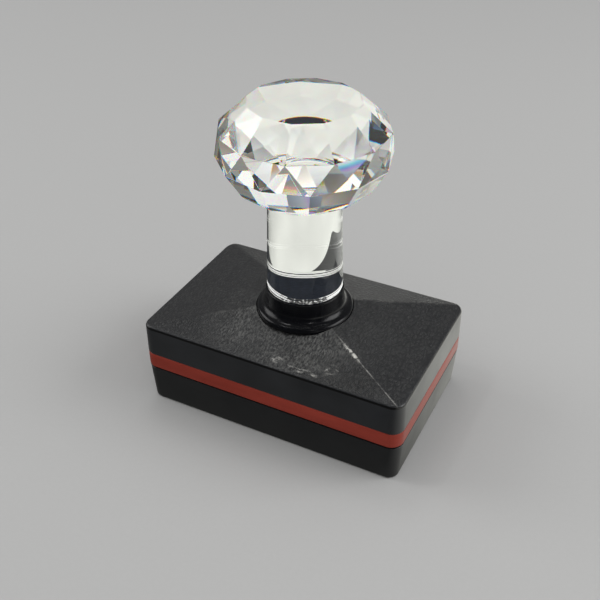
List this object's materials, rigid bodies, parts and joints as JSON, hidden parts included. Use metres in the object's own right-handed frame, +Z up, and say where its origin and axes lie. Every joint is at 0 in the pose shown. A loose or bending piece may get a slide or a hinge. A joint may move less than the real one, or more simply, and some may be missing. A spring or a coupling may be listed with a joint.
{
  "type": "pre-inked hand stamp",
  "caption": "Rectangular pre-inked hand stamp with a hipped black shell, a red ring, a lift-off dust cap and a faceted clear knob on a clear stem; a sprung bezel surrounds the die.",
  "frame": {"origin": "middle of the cap's flat underside, on the surface that the stamp stands on", "axes": "+X along the body's length, +Y from the front long side to the rear one, +Z up along the handle"},
  "size_m": [0.075, 0.0476, 0.0866],
  "materials": {
    "cap_black": "fine-grained semi-gloss black",
    "ring_red": "smooth dark red",
    "shell_black": "fine-grained semi-gloss black",
    "collar_black": "glossy black",
    "bond_black": "cured black adhesive",
    "crystal": "polished clear glass",
    "insert_brass": "turned brass",
    "screw_steel": "zinc-plated steel",
    "spring_steel": "drawn spring wire",
    "carrier_grey": "matte dark grey",
    "bezel_black": "matte black",
    "felt_ink": "felt soaked with red ink",
    "die_foam": "fine microporous foam, inked red"
  },
  "bodies": {
    "cap": {"cap": "cap_black"},
    "stamp": {"index_ring": "ring_red", "top_shell": "shell_black", "collar": "collar_black", "bond_disc": "bond_black", "crystal_stem": "crystal", "crystal_head": "crystal", "collar_insert": "insert_brass", "handle_screw": "screw_steel", "screw_washer": "screw_steel", "die_carrier": "carrier_grey", "carrier_screws": "screw_steel", "ink_felt": "felt_ink", "stamp_die": "die_foam", "die_frame": "carrier_grey", "spring_front_left": "spring_steel", "spring_front_right": "spring_steel", "spring_rear_left": "spring_steel", "spring_rear_right": "spring_steel"},
    "bezel": {"bezel": "bezel_black"}
  },
  "joints": [
    {"name": "lift_off", "type": "slide", "parent": "cap", "child": "stamp", "axis": [0, 0, 1], "range_m": [0, 0.03]},
    {"name": "press", "type": "slide", "parent": "stamp", "child": "bezel", "axis": [0, 0, 1], "range_m": [0, 0.003], "stiffness_N_per_m": 1500, "springref_m": -0.003, "deforming": ["spring_front_left", "spring_front_right", "spring_rear_left", "spring_rear_right"]}
  ]
}
